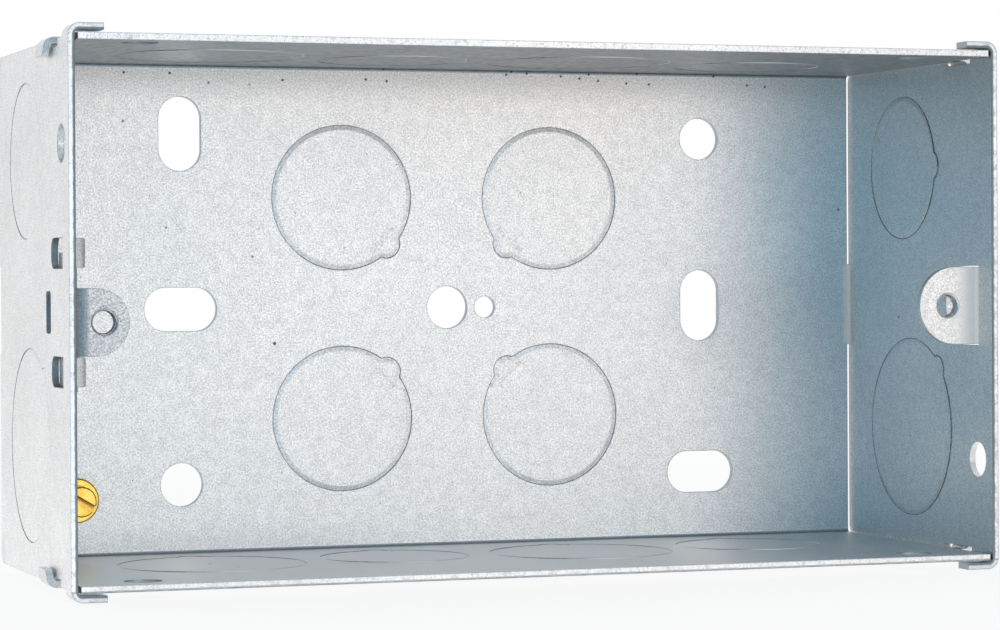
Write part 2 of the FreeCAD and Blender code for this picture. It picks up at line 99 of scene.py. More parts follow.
# Tones of the finishes, and of the light and shade painted on them
SHEET_DULL = (0.58, 0.585, 0.59, 1.0)
SHEET_BRIGHT = (0.91, 0.91, 0.91, 1.0)
LUG_DULL = (0.375, 0.378, 0.385, 1.0)
LUG_BRIGHT = (0.725, 0.72, 0.725, 1.0)
BOTTOM_LIGHT_TINT = (1.0, 0.97, 0.95, 1.0)
BOTTOM_LIGHT_TINT_LEFT = (0.9, 0.97, 1.0, 1.0)
BEND_HIGHLIGHT = (0.97, 0.9, 0.85, 1.0)
CORNER_SHADE = (0.245, 0.27, 0.275, 1.0)
FOLD_SHADE = (0.14, 0.22, 0.28, 1.0)
CREASE_SHADE = (0.13, 0.20, 0.24, 1.0)
BARE_STEEL = (0.27, 0.315, 0.345, 1.0)
EDGE_SHADE = (0.20, 0.225, 0.25, 1.0)
RIM_SHADE = (0.19, 0.22, 0.25, 1.0)
RIM_FLECK = (0.15, 0.16, 0.17, 1.0)
DARK_SPECK = (0.05, 0.05, 0.055, 1.0)
SEAM_DARK = (0.14, 0.16, 0.18, 1.0)
SEAM_GREY = (0.50, 0.53, 0.55, 1.0)
SEAM_HIGHLIGHT = (0.93, 0.94, 0.95, 1.0)
THREAD_DULL = (0.42, 0.45, 0.47, 1.0)
THREAD_BRIGHT = (0.70, 0.73, 0.75, 1.0)
BRASS_DULL = (0.79, 0.46, 0.08, 1.0)
BRASS_BRIGHT = (0.97, 0.68, 0.18, 1.0)
BRASS_TARNISH_AND_SHADE = (0.36, 0.16, 0.025, 1.0)

# Sizes of the zinc coat's patterns; specks have a spacing and a radius
FINE_SPECKLE = 0.23 * MM
GRAIN = 1.3 * MM
PATCH = 16.0 * MM
LARGE_SPECKS = (10.0 * MM, 0.33 * MM)
SMALL_SPECKS = (3.6 * MM, 0.12 * MM)
FOLD_SPECKS = (3.8 * MM, 0.26 * MM)
ZINC_EDGE = 0.2 * MM
ZINC_RELIEF = 0.02 * MM
LUG_CREASE = 0.6             # how dark the sliding lug is along its bend

# Marks, painted light and painted shade on the zinc coat, as the places where each starts and where it is
# full
ON_RIM = (RIM_Y + 3 * SKIN, RIM_Y + SKIN)
NEAR_RIM = (RIM_Y + 1.0 * MM, RIM_Y + 0.5 * MM)
SHADE_LINE_BAND = (0.42 * MM, 0.25 * MM)
OUTLINE = (SHEET - 0.2 * MM, SHEET - 0.08 * MM)
BOTTOM_EDGE_LINE = (0.36 * MM - OUTER_Z, 0.2 * MM - OUTER_Z)
RAGGED = 0.2 * MM
LOW_RIM = (5.0 * MM - OUTER_Z, SHEET - OUTER_Z)
TOP_RIM = (OUTER_Z - 5.0 * MM, OUTER_Z - SHEET)
LEFT_RIM = (3.0 * MM - OUTER_X, 1.5 * MM - OUTER_X)
LEFT_RIM_EDGE = (0.5 * MM - OUTER_X, 0.4 * MM - OUTER_X)
RIGHT_END = (OUTER_X - 5.0 * MM, OUTER_X - 4.0 * MM)
LUG_ROOT = (OUTER_X - 5.0 * MM, OUTER_X - 2.5 * MM)
LUG_DEPTH = (LUG_FRONT_Y + 3.0 * MM, LUG_FRONT_Y + 2.0 * MM)
END_FOLD_DEPTH = (-4.0 * MM, -3.0 * MM)
BRIDGE_REACH = (OUTER_X - 2.1 * MM, OUTER_X - 1.8 * MM)
BRIDGE_DEPTH = (-1.5 * MM, -1.3 * MM)
BRIDGE_SPAN = (BRIDGE_HALF, BRIDGE_HALF - 0.3 * MM)
PROUD_TAB_X = (OUTER_X + 0.05 * MM, OUTER_X + 0.2 * MM)
PROUD_TAB_Z = (OUTER_Z + 0.05 * MM, OUTER_Z + 0.2 * MM)
FOLD_DEPTH = (-2.5 * MM, -2.0 * MM)
UNDER_TOP = (OUTER_Z - 1.5 * MM, OUTER_Z - SHEET)
ON_BOTTOM = (3.0 * MM - OUTER_Z, SHEET - OUTER_Z)
BOTTOM_LIGHT_SPAN = (55.0 * MM, 25.0 * MM)
BOTTOM_LIGHT_LEFT_SPAN = (18.0 * MM - OUTER_X, 5.0 * MM - OUTER_X)
ON_BACK = (-4.0 * MM, -2.0 * MM)
LOW_FOLD = (6.0 * MM - OUTER_Z, 1.5 * MM - OUTER_Z)
LOW_FOLD_LEFT = (10.0 * MM, -30.0 * MM)
TOP_FOLD = (OUTER_Z - 7.0 * MM, OUTER_Z - 2.0 * MM)
FOLD_SPECKS_HEIGHT = (OUTER_Z - 4.0 * MM, OUTER_Z - 3.0 * MM)
FOLD_SPECKS_DEPTH = (-1.5 * MM, -1.2 * MM)
CREASE_ACROSS = (3.7 * MM - OUTER_X, 3.1 * MM - OUTER_X)
CREASE_DEPTH = (LUG_FRONT_Y + 2.5 * MM, LUG_FRONT_Y + 1.5 * MM)

# The same for the way that a face looks, as parts of its normal
FACES_UP = (0.2, 0.9)
FACES_DOWN = (-0.2, -0.9)
FACES_FRONT = (-0.6, -0.9)
END_BEND_FACING = (0.05, 0.25)
BRIDGE_FACING = (0.05, -0.15)
FOLD_FACING = (0.08, 0.3)
FOLD_INSIDE = (0.0, -0.1)
CREASE_FACING = (-0.2, -0.6)
EDGE_TURN = (0.95, 0.8)
CUT_FACING = 0.3
LONG_WALL_FACING = 0.8

# Marks and painted shade on the brass
RING_PITCH = 0.16 * MM
RING_WOBBLE = 2.5
WOBBLE = 0.5 * MM
BLOTCH = 1.6 * MM
BRASS_EDGE = 0.1 * MM
BRASS_RELIEF = 0.01 * MM
FLANK_FACING = (0.6, 0.2)
BELOW_FACE = (SCREW_FACE_Y + 0.3 * MM, SCREW_FACE_Y + 0.8 * MM)
IN_HEAD = (2.2 * MM, 2.1 * MM)
SLOT_SIDE = (-0.05 * MM, 0.2 * MM)

# Marks and painted highlights on the seams and threads
SEAM_FLECKS = 1.2 * MM
THREAD_FLECKS = 0.25 * MM
IN_LONG_WALL = (OUTER_Z - 2 * SHEET, OUTER_Z - SHEET)
HIGHLIGHT_PART = (0.15, 0.45)

# Camera, fitted to the photograph
CAMERA_PLACE = (-0.1525, -0.45732, 0.00357)
CAMERA_YAW = 19.397
CAMERA_PITCH = 0.565
CAMERA_ROLL = -0.305
CAMERA_LENS = 118.28
SENSOR_WIDTH = 36.0
CLIP_START = 0.01

# Studio, as the box mirrors it
WHITE = (1.0, 1.0, 1.0, 1.0)
ROOM_LEFT = (0.0, 0.47, 0.82, 1.0)
ROOM_RIGHT = (0.62, 0.64, 0.66, 1.0)
FAR_LEFT = (0.40, 0.53, 0.60, 1.0)
ROOM_ABOVE = (0.42, 0.50, 0.54, 1.0)
LOW_LEFT = (0.1, 0.75, 1.1, 1.0)
LOW_RIGHT = (0.27, 0.26, 0.255, 1.0)
LIT_BEHIND = (1.18, 1.18, 1.18, 1.0)
LIT_POOL = (1.72, 1.55, 1.48, 1.0)
POOL_PLACE = (0.2, -0.6, 0.0)
LAMP_COLOUR = (1.0, 0.935, 0.89)
FLOOR_PAINT = (0.9, 0.9, 0.9, 1.0)
FLOOR_HALF = 6.0
SHADOW_SHARE = 0.15

# Where one part of the studio gives way to the next: on the floor in metres, in the room by direction
SHADOW_END = (0.15, 0.5)
BEHIND_LIT = (0.5, 0.1)
LOW_TURN = (-0.2, 0.05)
LOW_FAR_LEFT = (0.7, 1.1)    # across over depth
POOL_REACH = (0.5, 0.15)
FLOOR_FRONT = (-0.02, -0.2)
ROOM_FRONT = (0.2, -0.25)
ROOM_TURN = (-0.45, 0.45)
ROOM_FAR_LEFT = (-0.58, -0.75)
ROOM_RISE = (0.0, 0.8)


class Wire:
    """An output socket of a node tree, used in Python expressions that add Math nodes."""

    def __init__(self, tree, socket=None):
        self.tree = tree
        self.socket = socket

    def node(self, kind, settings=None, inputs=None, output=0):
        """Adds a node: first its settings, then the values or links of its sockets."""
        made = self.tree.nodes.new(kind)
        for name, value in (settings or {}).items():
            setattr(made, name, value)
        for name, value in (inputs or {}).items():
            for one in value if isinstance(value, list) else [value]:
                if isinstance(one, Wire):
                    self.tree.links.new(one.socket, made.inputs[name])
                else:
                    made.inputs[name].default_value = one
        return Wire(self.tree, made.outputs[output] if len(made.outputs) else None)

    def maths(self, operation, *values):
        """A Math node on numbers and wires."""
        return self.node("ShaderNodeMath", {"operation": operation}, dict(enumerate(values)))

    def __add__(self, other):
        return self.maths("ADD", self, other)

    def __radd__(self, other):
        return self.maths("ADD", other, self)

    def __sub__(self, other):
        return self.maths("SUBTRACT", self, other)

    def __rsub__(self, other):
        return self.maths("SUBTRACT", other, self)

    def __mul__(self, other):
        return self.maths("MULTIPLY", self, other)

    def __rmul__(self, other):
        return self.maths("MULTIPLY", other, self)

    def __truediv__(self, other):
        return self.maths("DIVIDE", self, other)

    def __rtruediv__(self, other):
        return self.maths("DIVIDE", other, self)

    def __pow__(self, other):
        return self.maths("POWER", self, other)


# Patterns that the finishes share


def magnitude(value):
    """The value without its sign."""
    return value.maths("ABSOLUTE", value)


def larger(first, second):
    """The larger of a wire and another wire or number."""
    return first.maths("MAXIMUM", first, second)


def over(value, limit):
    """1 above the limit and 0 below it."""
    return value.maths("GREATER_THAN", value, limit)


def under(value, limit):
    """1 below the limit and 0 above it."""
    return value.maths("LESS_THAN", value, limit)


def rise(value, low, high):
    """0 below low, 1 above high, smooth between; falls instead where low is above high."""
    return value.node(
        "ShaderNodeMapRange", {"interpolation_type": "SMOOTHSTEP"},
        {"Value": value, "From Min": low, "From Max": high})


def mix(factor, first, second):
    """The first colour where the factor is 0 and the second where it is 1."""
    return factor.node("ShaderNodeMix", {"data_type": "RGBA"}, {0: factor, 6: first, 7: second}, 2)


def cloud(place, size, detail=2.0, roughness=0.55):
    """Soft noise around 0, with patches about the given size."""
    noise = place.node(
        "ShaderNodeTexNoise", None,
        {"Vector": place, "Scale": 1 / size, "Detail": detail, "Roughness": roughness})
    return noise - 0.5


def specks(place, spacing, radius, dimensions="3D"):
    """1 in small round spots, one at most in each cell of the given spacing."""
    distance = place.node(
        "ShaderNodeTexVoronoi", {"voronoi_dimensions": dimensions}, {"Vector": place, "Scale": 1 / spacing})
    return rise(distance, radius / spacing, 0.4 * radius / spacing)


def axes(vector):
    """The X, Y and Z parts of a vector."""
    return [vector.node("ShaderNodeSeparateXYZ", None, {"Vector": vector}, axis) for axis in "XYZ"]


def new_material(name):
    """A material with an empty tree, as a wire to start from, and its output node."""
    material = bpy.data.materials.new(name)
    material.use_nodes = True
    tree = material.node_tree
    tree.nodes.clear()
    return material, Wire(tree), tree.nodes.new("ShaderNodeOutputMaterial")


def finish_material(start, output, sockets):
    """Links a Principled shader with these sockets to the output."""
    shader = start.node("ShaderNodeBsdfPrincipled", None, sockets)
    start.tree.links.new(shader.socket, output.inputs["Surface"])


# Zinc coat


def coat_wires(start):
    """What the zinc coat is drawn from: where a point lies, which way it faces, and three noises."""
    place = start.node("ShaderNodeTexCoord", output="Object")
    facing = start.node("ShaderNodeNewGeometry", output="Normal")
    across, depth, height = axes(place)
    sideways, forward, upward = axes(facing)
    return SimpleNamespace(
        place=place, across=across, depth=depth, height=height,
        from_middle=magnitude(across), from_level=magnitude(height),
        facing=facing, sideways=sideways, forward=forward, upward=upward,
        fine=cloud(place, FINE_SPECKLE, roughness=0.7), grain=cloud(place, GRAIN), patch=cloud(place, PATCH),
        rim=rise(depth, *ON_RIM))


def bare_cuts(coat):
    """1 where bare steel shows: on punched sides in the back, by the sliding lug and near the rim."""
    in_sheet = [
        over(coat.from_middle, OUTER_X - SHEET + SKIN),
        over(coat.depth, SKIN - SHEET),
        over(coat.from_level, OUTER_Z - SHEET + SKIN),
    ]
    turned = [under(magnitude(part), CUT_FACING) for part in (coat.sideways, coat.forward, coat.upward)]
    cuts = [
        in_sheet[axis] * turned[axis] * (1 - in_sheet[axis - 1]) * (1 - in_sheet[axis - 2])
        for axis in range(3)]
    cuts[0] = cuts[0] * under(coat.across, 0.0) * under(coat.from_level, LUG_SLOTS_END)
    cuts[2] = cuts[2] * under(coat.depth, RIM_Y + LONG_HOLES_END)
    return (cuts[0] + cuts[1] + cuts[2]) * over(coat.depth, RIM_Y + SKIN)


def rim_finish(coat, dull, bright):
    """Sheared front edge: mottled, lighter along the top and at the left, and flecked, with painted shade as
    a dark line along the inside of the end walls and hooks.

    The hooks are outlined in painted shade, and a ragged dark line runs along the bottom edge.
    """
    past_bend_x = larger(coat.from_middle - (OUTER_X - SHEET - HOOK_BEND), 0.0)
    past_bend_z = larger(coat.from_level - (OUTER_Z + HOOK_GAP - HOOK_BEND), 0.0)
    into_sheet = (past_bend_x ** 2 + past_bend_z ** 2) ** 0.5 - HOOK_BEND
    ragged = coat.grain * RAGGED
    # Painted shade: a dark line along the inner edge of the end walls that runs on under the hooks, and dark
    # outlines round the hooks
    shade_line = rise(into_sheet + ragged, *SHADE_LINE_BAND) * over(into_sheet, -SKIN)
    on_hook = rise(past_bend_z, 0.0, HOOK_BEND)
    outline = rise(into_sheet, *OUTLINE) * (0.05 + on_hook * 0.25)
    bottom_edge_line = rise(coat.height + ragged, *BOTTOM_EDGE_LINE) * (0.7 + coat.grain) * over(coat.height, -OUTER_Z - SKIN)
    low = rise(coat.height, *LOW_RIM)
    top = rise(coat.height, *TOP_RIM)
    left = rise(coat.across, *LEFT_RIM)
    flecks = rise(coat.fine + coat.grain * 0.6 + low * 0.08 + top * 0.08, 0.15, 0.25)
    flecks = flecks * (0.3 + low * 0.2 + top * 0.2)
    tone = mix(rise(coat.fine + coat.grain + top * 0.12 + left * 0.2, -0.25, 0.25), dull, bright)
    tone = mix(flecks, tone, RIM_FLECK)
    return mix(larger(shade_line, larger(outline, bottom_edge_line)), tone, RIM_SHADE)


def painted_bend_highlights(coat):
    """1 on bends with a painted highlight: the right end wall's fold, the fixed lug's root and the two
    bridges.
    """
    at_lug = rise(coat.depth, *LUG_DEPTH)
    bend = rise(coat.sideways * coat.forward, *END_BEND_FACING) * rise(coat.across, *RIGHT_END)
    bend = bend * (at_lug + rise(coat.depth, *END_FOLD_DEPTH))
    bridge = rise(coat.from_middle, *BRIDGE_REACH) * rise(coat.depth, *BRIDGE_DEPTH)
    bridge = bridge * rise(coat.from_level, *BRIDGE_SPAN) * rise(coat.forward, *BRIDGE_FACING)
    lug_root = rise(coat.across, *LUG_ROOT) * at_lug * rise(coat.forward, *FACES_FRONT)
    highlighted_bends = larger(bend, bridge * (0.9 + coat.grain))
    return larger(highlighted_bends, lug_root * (1 - coat.rim) * 0.8)


def painted_corner_shade(coat):
    """How much painted shade darkens the sheet under the top wall and along the back's long folds."""
    under_top = rise(coat.height, *UNDER_TOP) * rise(coat.upward, *FACES_DOWN)
    on_back = rise(coat.depth, *ON_BACK)
    low_fold = rise(coat.height, *LOW_FOLD) * on_back * (0.03 + rise(coat.across, *LOW_FOLD_LEFT) * 0.14)
    top_fold = rise(coat.height, *TOP_FOLD) * on_back * (0.12 + coat.grain * 0.3)
    return under_top * (0.72 + coat.grain * 1.2 + coat.fine) + low_fold + top_fold


def dark_edges(coat, rounded):
    """How much painted shade darkens sharp edges as dark outlines, but for the left rim's and those round the
    long walls' knock-outs.
    """
    turn = coat.place.node(
        "ShaderNodeVectorMath", {"operation": "DOT_PRODUCT"}, {0: rounded, 1: coat.facing}, "Value")
    edge = rise(turn, *EDGE_TURN) * (0.75 + coat.grain * 1.5)
    left_rim = rise(coat.across, *LEFT_RIM_EDGE) * rise(coat.depth, *NEAR_RIM)
    long_wall = over(magnitude(coat.upward), LONG_WALL_FACING)
    return edge * (1 - left_rim * 0.8) * (1 - long_wall * over(coat.depth, RIM_Y + LONG_HOLES_END))


def dark_specks(coat):
    """1 in dark specks, few on the whole sheet and more along the back's top fold."""
    dots = larger(specks(coat.place, *LARGE_SPECKS), specks(coat.place, *SMALL_SPECKS))
    by_top_fold = rise(coat.height, *FOLD_SPECKS_HEIGHT) * rise(coat.depth, *FOLD_SPECKS_DEPTH)
    on_plate = coat.place.node("ShaderNodeCombineXYZ", None, {"X": coat.across, "Y": coat.height})
    return larger(dots, specks(on_plate, *FOLD_SPECKS, "2D") * by_top_fold)


def galvanised_steel(name, dull, bright, creased):
    """Satin zinc coat between two tones: speckle, clouds and dark specks, with painted highlights on bends,
    painted light on the bottom wall, and painted shade under the top wall, along folds, in the lug's crease
    and on sharp edges.

    Creased is how dark the sliding lug is along its bend.
    """
    material, start, output = new_material(name)
    coat = coat_wires(start)
    rounded = start.node("ShaderNodeBevel", {"samples": 4}, {"Radius": ZINC_EDGE})
    highlighted_bends = painted_bend_highlights(coat)
    dots = dark_specks(coat)
    fold = rise(magnitude(coat.forward * coat.upward), *FOLD_FACING)
    fold = fold * rise(coat.depth, *FOLD_DEPTH) * rise(coat.forward, *FOLD_INSIDE)
    on_bottom = rise(coat.height, *ON_BOTTOM) * rise(coat.upward, *FACES_UP)
    on_bottom = on_bottom * rise(coat.across, *BOTTOM_LIGHT_SPAN)
    crease = rise(coat.across, *CREASE_ACROSS) * rise(coat.forward, *CREASE_FACING)
    crease = crease * rise(coat.depth, *CREASE_DEPTH) * (1 - coat.rim)

    tone = 0.5 + coat.fine * 2.6 + coat.grain * 0.5 + coat.patch * 0.4
    colour = mix(rise(tone, 0.0, 1.0), dull, bright)
    # Painted light: the bottom wall's upward inner face is lightened, with a bluer tint towards its left end
    # and none at the right end
    bottom_light = mix(rise(coat.across, *BOTTOM_LIGHT_LEFT_SPAN), BOTTOM_LIGHT_TINT, BOTTOM_LIGHT_TINT_LEFT)
    colour = mix(on_bottom * 0.9, colour, bottom_light)
    colour = mix(crease * creased, colour, CREASE_SHADE)
    # Painted highlight on the bends, which are also made less metallic further down
    colour = mix(highlighted_bends, colour, BEND_HIGHLIGHT)
    # Painted shade under the top wall and along the back's long folds
    colour = mix(painted_corner_shade(coat), colour, CORNER_SHADE)
    colour = mix(fold * 0.55, colour, FOLD_SHADE)
    colour = mix(bare_cuts(coat) * 0.8, colour, BARE_STEEL)
    colour = mix(coat.rim, colour, rim_finish(coat, dull, bright))
    # Painted shade: dark outlines along sharp edges
    colour = mix(dark_edges(coat, rounded), colour, EDGE_SHADE)
    colour = mix(dots * 0.85, colour, DARK_SPECK)

    proud_tab = larger(rise(coat.from_level, *PROUD_TAB_Z), rise(coat.from_middle, *PROUD_TAB_X))
    metal = 1 - highlighted_bends * 0.9 - proud_tab * 0.5
    gloss = 0.44 - coat.fine * 0.3 + coat.patch * 0.1 + dots * 0.2
    relief = start.node(
        "ShaderNodeBump", None,
        {"Strength": 0.5, "Distance": ZINC_RELIEF, "Height": coat.fine, "Normal": rounded})
    finish_material(start, output, {
        "Base Color": colour, "Metallic": metal, "Roughness": gloss, "Normal": relief})
    return material


# Other finishes


def turned_brass():
    """Bright brass with turning rings about the screw's axis, with painted shade on its flanks, and a slot
    tarnished a little all over and with painted shade on one side.
    """
    material, start, output = new_material("turned_brass")
    place = start.node("ShaderNodeTexCoord", output="Object")
    local = start.node(
        "ShaderNodeMapping", None, {"Vector": place, "Location": tuple(-SCREW_AXIS)})
    across, depth, height = axes(local)
    radius = (across ** 2 + height ** 2) ** 0.5
    rings = radius * (2 * math.pi / RING_PITCH) + cloud(local, WOBBLE) * RING_WOBBLE
    rings = rings.maths("SINE", rings)
    blotch = cloud(local, BLOTCH, 3.0)
    front = axes(start.node("ShaderNodeNewGeometry", output="Normal"))[1]
    flank = rise(magnitude(front), *FLANK_FACING)
    off_slot = across * math.sin(SCREW_SLOT_ANGLE) + height * math.cos(SCREW_SLOT_ANGLE)
    in_slot = rise(depth, *BELOW_FACE) * rise(radius, *IN_HEAD) * (0.2 + rise(off_slot, *SLOT_SIDE) * 0.65)
    brass = mix(rise(blotch + rings * 0.05, -0.25, 0.25), BRASS_DULL, BRASS_BRIGHT)
    # Painted shade on the flanks and on one side of the slot; the whole slot is also a little tarnished
    colour = mix(larger(flank * 0.75, in_slot), brass, BRASS_TARNISH_AND_SHADE)
    gloss = 0.26 + rings * 0.03 + blotch * 0.15
    rounded = start.node("ShaderNodeBevel", {"samples": 4}, {"Radius": BRASS_EDGE})
    relief = start.node(
        "ShaderNodeBump", None,
        {"Strength": 0.35, "Distance": BRASS_RELIEF, "Height": rings + blotch, "Normal": rounded})
    finish_material(start, output, {
        "Base Color": colour, "Metallic": 1.0, "Roughness": gloss, "Normal": relief})
    return material


def sheared_seam():
    """Raw steel in the hairline crack round a knock-out: dark, with a painted highlight along part of each
    seam in the long walls.
    """
    material, start, output = new_material("sheared_seam")
    place = start.node("ShaderNodeTexCoord", output="Object")
    flecks = cloud(place, SEAM_FLECKS, 3.0, 0.7)
    colour = mix(rise(flecks, -0.15, 0.25), SEAM_DARK, SEAM_GREY)
    across, _, height = axes(place)
    along = across / LONG_KNOCKOUT_PITCH
    along = along.maths("FRACT", along)
    # Painted highlight along part of each seam in the long walls
    highlighted = rise(magnitude(height), *IN_LONG_WALL) * rise(along, *HIGHLIGHT_PART)
    colour = mix(highlighted * 0.9, colour, SEAM_HIGHLIGHT)
    finish_material(start, output, {
        "Base Color": colour, "Metallic": 0.9, "Roughness": 0.5 + flecks * 0.3})
    return material


def cut_thread():
    """Bare steel ridges of the tapped holes, mottled between two tones."""
    material, start, output = new_material("cut_thread")
    place = start.node("ShaderNodeTexCoord", output="Object")
    flecks = cloud(place, THREAD_FLECKS)
    colour = mix(rise(flecks, -0.2, 0.2), THREAD_DULL, THREAD_BRIGHT)
    finish_material(start, output, {
        "Base Color": colour, "Metallic": 1.0, "Roughness": 0.3 + flecks * 0.3})
    return material


# Pieces that repeat or follow a path


def new_shape_tree(name, sizes):
    """A Geometry Nodes tree with a geometry input, the named inputs and a geometry output."""
    tree = bpy.data.node_groups.new(name, "GeometryNodeTree")
    tree.interface.new_socket("Geometry", in_out="INPUT", socket_type="NodeSocketGeometry")
    for label, value in sizes.items():
        is_material = isinstance(value, bpy.types.Material)
        kind = "NodeSocketMaterial" if is_material else "NodeSocketFloat"
        tree.interface.new_socket(label, in_out="INPUT", socket_type=kind)
    tree.interface.new_socket("Geometry", in_out="OUTPUT", socket_type="NodeSocketGeometry")
    source = tree.nodes.new("NodeGroupInput")
    return tree, {socket.name: Wire(tree, socket) for socket in source.outputs if socket.name}


def close_shape_tree(shape, material):
    """Realises the shape, gives it its material and links it to the tree's output."""
    real = shape.node("GeometryNodeRealizeInstances", None, {"Geometry": shape})
    dressed = shape.node("GeometryNodeSetMaterial", None, {"Geometry": real, "Material": material})
    output = shape.tree.nodes.new("NodeGroupOutput")
    shape.tree.links.new(dressed.socket, output.inputs["Geometry"])


def grow(name, seed_mesh, tree, sizes, body):
    """Runs the tree on the seed mesh and keeps the result as a plain mesh that rides on the body."""
    seed = bpy.data.objects.new(name, seed_mesh)
    bpy.context.scene.collection.objects.link(seed)
    modifier = seed.modifiers.new("grow", "NODES")
    modifier.node_group = tree
    for item in tree.interface.items_tree:
        if item.in_out == "INPUT" and item.name in sizes:
            modifier[item.identifier] = sizes[item.name]
    evaluated = seed.evaluated_get(bpy.context.evaluated_depsgraph_get())
    mesh = bpy.data.meshes.new_from_object(evaluated)
    seed.modifiers.remove(modifier)
    seed.data = mesh
    mesh.name = name
    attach(seed, body)


def arc_ring(base, radius, gap, lobe_radius, lobe_place, lobe_half, lift):
    """A knock-out's outline as two arcs: the disc with a gap, and the lobe that fills it."""
    disc = base.node("GeometryNodeCurveArc", None, {
        "Resolution": DISC_STEPS, "Radius": radius,
        "Start Angle": gap, "Sweep Angle": 2 * math.pi - gap * 2})
    lobe = base.node("GeometryNodeCurveArc", None, {
        "Resolution": LOBE_STEPS, "Radius": lobe_radius,
        "Start Angle": 0.0 - lobe_half, "Sweep Angle": lobe_half * 2})
    shift = base.node("ShaderNodeCombineXYZ", None, {"X": lobe_place})
    lobe = base.node("GeometryNodeTransform", None, {"Geometry": lobe, "Translation": shift})
    both = base.node("GeometryNodeJoinGeometry", None, {"Geometry": [disc, lobe]})
    up = base.node("ShaderNodeCombineXYZ", None, {"Z": lift})
    return base.node("GeometryNodeTransform", None, {"Geometry": both, "Translation": up})


def seam_tree(sizes):
    """A hairline seam on one face of the sheet, at every knock-out point of the seed mesh."""
    tree, given = new_shape_tree("knockout_seam", sizes)
    base = given["Geometry"]
    path = arc_ring(
        base, given["Disc Radius"], given["Gap Angle"], given["Lobe Radius"], given["Lobe Place"],
        given["Lobe Half Angle"], given["Lift"])
    profile = base.node(
        "GeometryNodeCurvePrimitiveCircle", None,
        {"Resolution": SEAM_SIDES, "Radius": given["Seam Radius"]})
    seam = base.node("GeometryNodeCurveToMesh", None, {"Curve": path, "Profile Curve": profile})
    turn = base.node("GeometryNodeInputNamedAttribute", {"data_type": "FLOAT_VECTOR"}, {"Name": "turn"})
    turn = base.node("FunctionNodeEulerToRotation", None, {"Euler": turn})
    placed = base.node(
        "GeometryNodeInstanceOnPoints", None, {"Points": base, "Instance": seam, "Rotation": turn})
    close_shape_tree(placed, given["Material"])
    return tree


def knockout_places():
    """Every knock-out as (radius, centre on the outer face, way into the box, way to its lobe)."""
    places = []
    for side in (-1, 1):
        for level in (-1, 1):
            centre = Vector((side * BACK_KNOCKOUT, 0, level * BACK_KNOCKOUT))
            places.append((SMALL_RADIUS, centre, Vector((0, -1, 0)), -centre))
        inward = Vector((-side, 0, 0))
        small = Vector((side * OUTER_X, END_KNOCKOUT_REAR - SMALL_RADIUS, END_SMALL_HEIGHT))
        large = Vector((side * OUTER_X, END_KNOCKOUT_REAR - LARGE_RADIUS, END_LARGE_HEIGHT))
        places.append((SMALL_RADIUS, small, inward, Vector((0, -1, 0))))
        places.append((LARGE_RADIUS, large, inward, Vector((0, -1, 1))))
        for index, radius in enumerate(LONG_KNOCKOUTS):
            along = (index - (len(LONG_KNOCKOUTS) - 1) / 2) * LONG_KNOCKOUT_PITCH
            centre = Vector((along, LONG_KNOCKOUT_REAR - radius, side * OUTER_Z))
            places.append((radius, centre, Vector((0, 0, -side)), Vector((0, 1, 0))))
    return places


def seam_seed(name, radius, proud):
    """A point for each knock-out of this radius, turned so that its front edge in a wall stands proud."""
    rearward = Vector((0, 1, 0))
    points = []
    turns = []
    for size, centre, inward, lobe_way in knockout_places():
        if size != radius:
            continue
        hinge = inward.cross(rearward)
        tilt = Matrix.Rotation(math.atan2(proud, radius) if hinge.length else 0.0, 3, hinge)
        lobe_way = tilt @ lobe_way.normalized()
        inward = tilt @ inward
        turn = Matrix((lobe_way, inward.cross(lobe_way), inward)).transposed().to_euler()
        points.append(centre)
        turns.extend(turn)
    seed = bpy.data.meshes.new(name)
    seed.from_pydata(points, [], [])
    seed.attributes.new("turn", "FLOAT_VECTOR", "POINT").data.foreach_set("vector", turns)
    return seed


def knockout_seams(material):
    """The seams of all small and all large knock-outs, inside and outside the box."""
    faces = {
        "inner": (SHEET - INNER_SEAM_RADIUS, INNER_SEAM_RADIUS, PROUD_FRONT),
        "outer": (OUTER_SEAM_RADIUS, OUTER_SEAM_RADIUS, 0.0),
    }
    for size, radius in (("small", SMALL_RADIUS), ("large", LARGE_RADIUS)):
        lobe_place = radius + LOBE_REACH - LOBE_RADIUS
        meet = (lobe_place ** 2 + radius ** 2 - LOBE_RADIUS ** 2) / (2 * lobe_place)
        half_gap = math.sqrt(radius ** 2 - meet ** 2)
        for face, (lift, seam_radius, proud) in faces.items():
            name = size + "_knockout_" + face + "_seams"
            sizes = {
                "Disc Radius": radius,
                "Gap Angle": math.atan2(half_gap, meet),
                "Lobe Radius": LOBE_RADIUS,
                "Lobe Place": lobe_place,
                "Lobe Half Angle": math.atan2(half_gap, meet - lobe_place),
                "Lift": lift,
                "Seam Radius": seam_radius,
                "Material": material,
            }
            grow(name, seam_seed(name, radius, proud), seam_tree(sizes), sizes, "box")


def thread_tree(sizes):
    """A helical ridge along +Y round the seed mesh's only point."""
    tree, given = new_shape_tree("cut_thread", sizes)
    base = given["Geometry"]
    helix = base.node("GeometryNodeCurveSpiral", None, {
        "Resolution": HELIX_STEPS, "Rotations": given["Turns"], "Start Radius": given["Radius"],
        "End Radius": given["Radius"], "Height": given["Length"]})
    helix = base.node("GeometryNodeSetCurveNormal", {"mode": "Z_UP"}, {"Curve": helix})
    profile = base.node(
        "GeometryNodeCurvePrimitiveCircle", None, {"Resolution": RIDGE_SIDES, "Radius": given["Crest"]})
    ridge = base.node("GeometryNodeCurveToMesh", None, {
        "Curve": helix, "Profile Curve": profile, "Fill Caps": True})
    along = base.node("GeometryNodeTransform", None, {
        "Geometry": ridge, "Rotation": (-math.pi / 2, 0.0, 0.0)})
    placed = base.node("GeometryNodeInstanceOnPoints", None, {"Points": base, "Instance": along})
    close_shape_tree(placed, given["Material"])
    return tree


